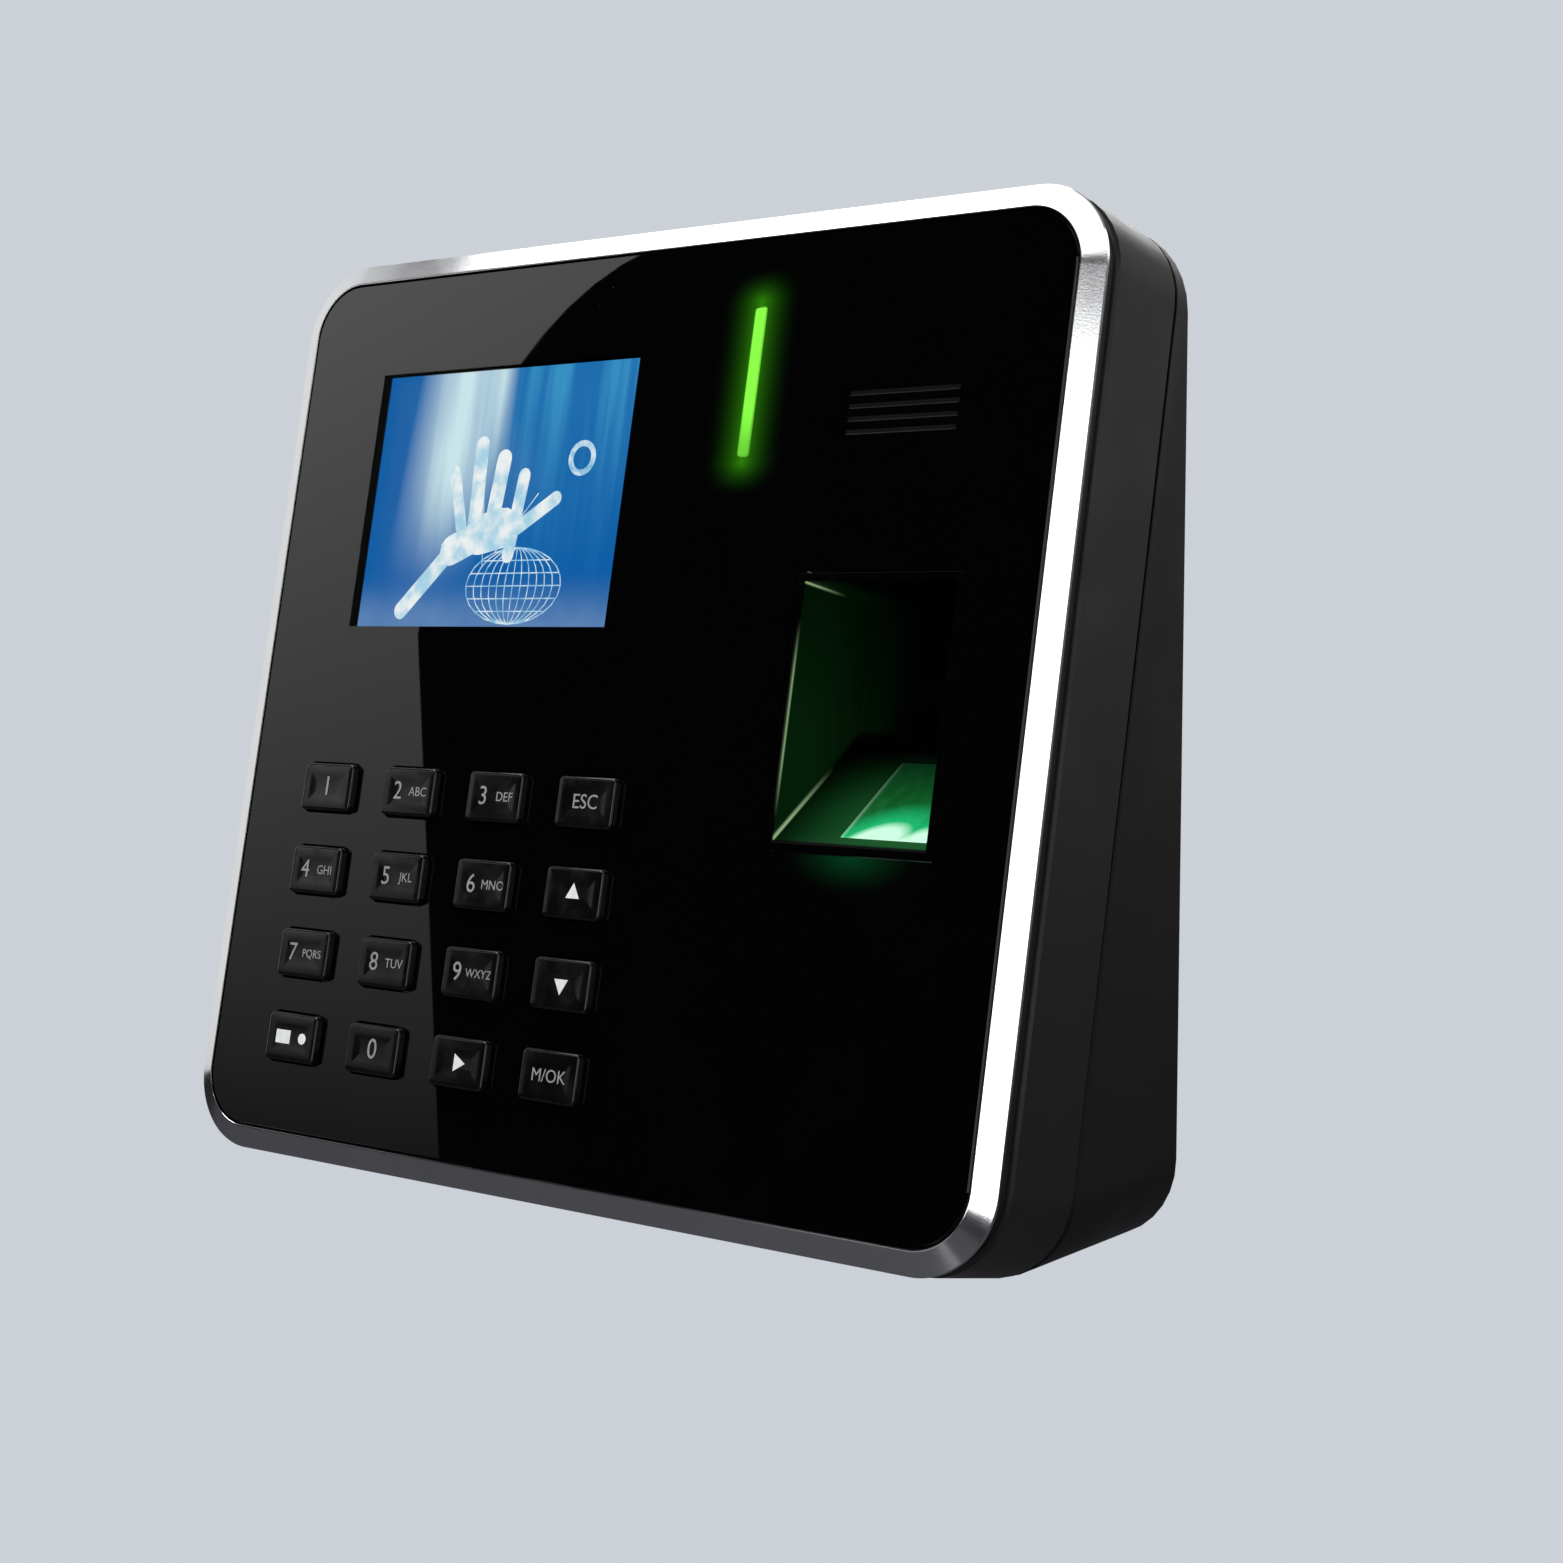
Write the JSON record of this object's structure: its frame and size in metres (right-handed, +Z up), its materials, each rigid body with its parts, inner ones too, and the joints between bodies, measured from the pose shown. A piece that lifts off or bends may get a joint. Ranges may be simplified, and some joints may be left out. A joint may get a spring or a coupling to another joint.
{
  "type": "fingerprint scanner terminal",
  "caption": "Wall-mounted fingerprint access terminal: sloped glossy panel with colour display, sprung keypad, status light, speaker slots and a lit finger pocket.",
  "frame": {"origin": "on the wall plane, on the back of the wall plate, behind the centre of the housing's rear outline", "axes": "+Y into the wall, +Z up, +X to the right of someone facing the terminal"},
  "size_m": [0.1618, 0.0531, 0.1526],
  "materials": {
    "lens_black": "high gloss, printed black from behind",
    "silver_frame": "bright plated, polished",
    "cover_abs": "fine satin mould texture",
    "key_plastic": "gloss caps with printed legends",
    "silicone": "matte",
    "circuit_board": "green solder mask",
    "display": "backlit colour display",
    "stamped_tray": "stamped tinned steel",
    "flex_film": "amber polyimide film",
    "light_guide": "clear moulding lit green",
    "scanner_black": "smooth, semi-gloss",
    "prism_glass": "polished, lit green from below",
    "chip_black": "moulded epoxy",
    "connector_plastic": "smooth",
    "terminal_green": "smooth",
    "zinc_steel": "zinc plated"
  },
  "bodies": {
    "housing": {"bezel_frame": "silver_frame", "board_screw_bottom_left": "zinc_steel", "board_screw_bottom_right": "zinc_steel", "board_screw_top_left": "zinc_steel", "board_screw_top_right": "zinc_steel", "coin_cell": "zinc_steel", "coin_cell_holder": "connector_plastic", "cover_screw_bottom_left": "zinc_steel", "cover_screw_bottom_right": "zinc_steel", "cover_screw_top_left": "zinc_steel", "cover_screw_top_right": "zinc_steel", "door_connector": "terminal_green", "ethernet_jack": "stamped_tray", "finger_guide": "scanner_black", "front_cover": "cover_abs", "front_lens": "lens_black", "indicator_led": "light_guide", "keypad_board": "circuit_board", "keypad_mat": "silicone", "lcd_flex": "flex_film", "lcd_frame": "stamped_tray", "lcd_glass": "display", "light_guide": "light_guide", "main_board": "circuit_board", "platen_prism": "prism_glass", "power_jack": "connector_plastic", "processor": "chip_black", "rear_cover": "cover_abs", "scanner_board": "circuit_board", "scanner_camera": "chip_black", "scanner_housing": "scanner_black", "security_screw": "zinc_steel", "speaker": "chip_black", "tamper_switch": "connector_plastic", "usb_port": "stamped_tray", "wall_plate": "zinc_steel"},
    "key_0": {"key_0": "key_plastic"},
    "key_1": {"key_1": "key_plastic"},
    "key_2": {"key_2": "key_plastic"},
    "key_3": {"key_3": "key_plastic"},
    "key_4": {"key_4": "key_plastic"},
    "key_5": {"key_5": "key_plastic"},
    "key_6": {"key_6": "key_plastic"},
    "key_7": {"key_7": "key_plastic"},
    "key_8": {"key_8": "key_plastic"},
    "key_9": {"key_9": "key_plastic"},
    "key_cancel": {"key_cancel": "key_plastic"},
    "key_down": {"key_down": "key_plastic"},
    "key_menu": {"key_menu": "key_plastic"},
    "key_ok": {"key_ok": "key_plastic"},
    "key_right": {"key_right": "key_plastic"},
    "key_up": {"key_up": "key_plastic"},
    "tamper_plunger": {"tamper_plunger": "connector_plastic"}
  },
  "joints": [
    {"name": "key_0_press", "type": "slide", "parent": "housing", "child": "key_0", "axis": [0, 0.9792, -0.2031], "range_m": [0, 0.0009], "stiffness_N_per_m": 1200},
    {"name": "key_1_press", "type": "slide", "parent": "housing", "child": "key_1", "axis": [0, 0.9792, -0.2031], "range_m": [0, 0.0009], "stiffness_N_per_m": 1200},
    {"name": "key_2_press", "type": "slide", "parent": "housing", "child": "key_2", "axis": [0, 0.9792, -0.2031], "range_m": [0, 0.0009], "stiffness_N_per_m": 1200},
    {"name": "key_3_press", "type": "slide", "parent": "housing", "child": "key_3", "axis": [0, 0.9792, -0.2031], "range_m": [0, 0.0009], "stiffness_N_per_m": 1200},
    {"name": "key_4_press", "type": "slide", "parent": "housing", "child": "key_4", "axis": [0, 0.9792, -0.2031], "range_m": [0, 0.0009], "stiffness_N_per_m": 1200},
    {"name": "key_5_press", "type": "slide", "parent": "housing", "child": "key_5", "axis": [0, 0.9792, -0.2031], "range_m": [0, 0.0009], "stiffness_N_per_m": 1200},
    {"name": "key_6_press", "type": "slide", "parent": "housing", "child": "key_6", "axis": [0, 0.9792, -0.2031], "range_m": [0, 0.0009], "stiffness_N_per_m": 1200},
    {"name": "key_7_press", "type": "slide", "parent": "housing", "child": "key_7", "axis": [0, 0.9792, -0.2031], "range_m": [0, 0.0009], "stiffness_N_per_m": 1200},
    {"name": "key_8_press", "type": "slide", "parent": "housing", "child": "key_8", "axis": [0, 0.9792, -0.2031], "range_m": [0, 0.0009], "stiffness_N_per_m": 1200},
    {"name": "key_9_press", "type": "slide", "parent": "housing", "child": "key_9", "axis": [0, 0.9792, -0.2031], "range_m": [0, 0.0009], "stiffness_N_per_m": 1200},
    {"name": "key_cancel_press", "type": "slide", "parent": "housing", "child": "key_cancel", "axis": [0, 0.9792, -0.2031], "range_m": [0, 0.0009], "stiffness_N_per_m": 1200},
    {"name": "key_down_press", "type": "slide", "parent": "housing", "child": "key_down", "axis": [0, 0.9792, -0.2031], "range_m": [0, 0.0009], "stiffness_N_per_m": 1200},
    {"name": "key_menu_press", "type": "slide", "parent": "housing", "child": "key_menu", "axis": [0, 0.9792, -0.2031], "range_m": [0, 0.0009], "stiffness_N_per_m": 1200},
    {"name": "key_ok_press", "type": "slide", "parent": "housing", "child": "key_ok", "axis": [0, 0.9792, -0.2031], "range_m": [0, 0.0009], "stiffness_N_per_m": 1200},
    {"name": "key_right_press", "type": "slide", "parent": "housing", "child": "key_right", "axis": [0, 0.9792, -0.2031], "range_m": [0, 0.0009], "stiffness_N_per_m": 1200},
    {"name": "key_up_press", "type": "slide", "parent": "housing", "child": "key_up", "axis": [0, 0.9792, -0.2031], "range_m": [0, 0.0009], "stiffness_N_per_m": 1200},
    {"name": "tamper_press", "type": "slide", "parent": "housing", "child": "tamper_plunger", "axis": [0, -0.9792, 0.2031], "range_m": [0, 0.0015], "stiffness_N_per_m": 400}
  ]
}
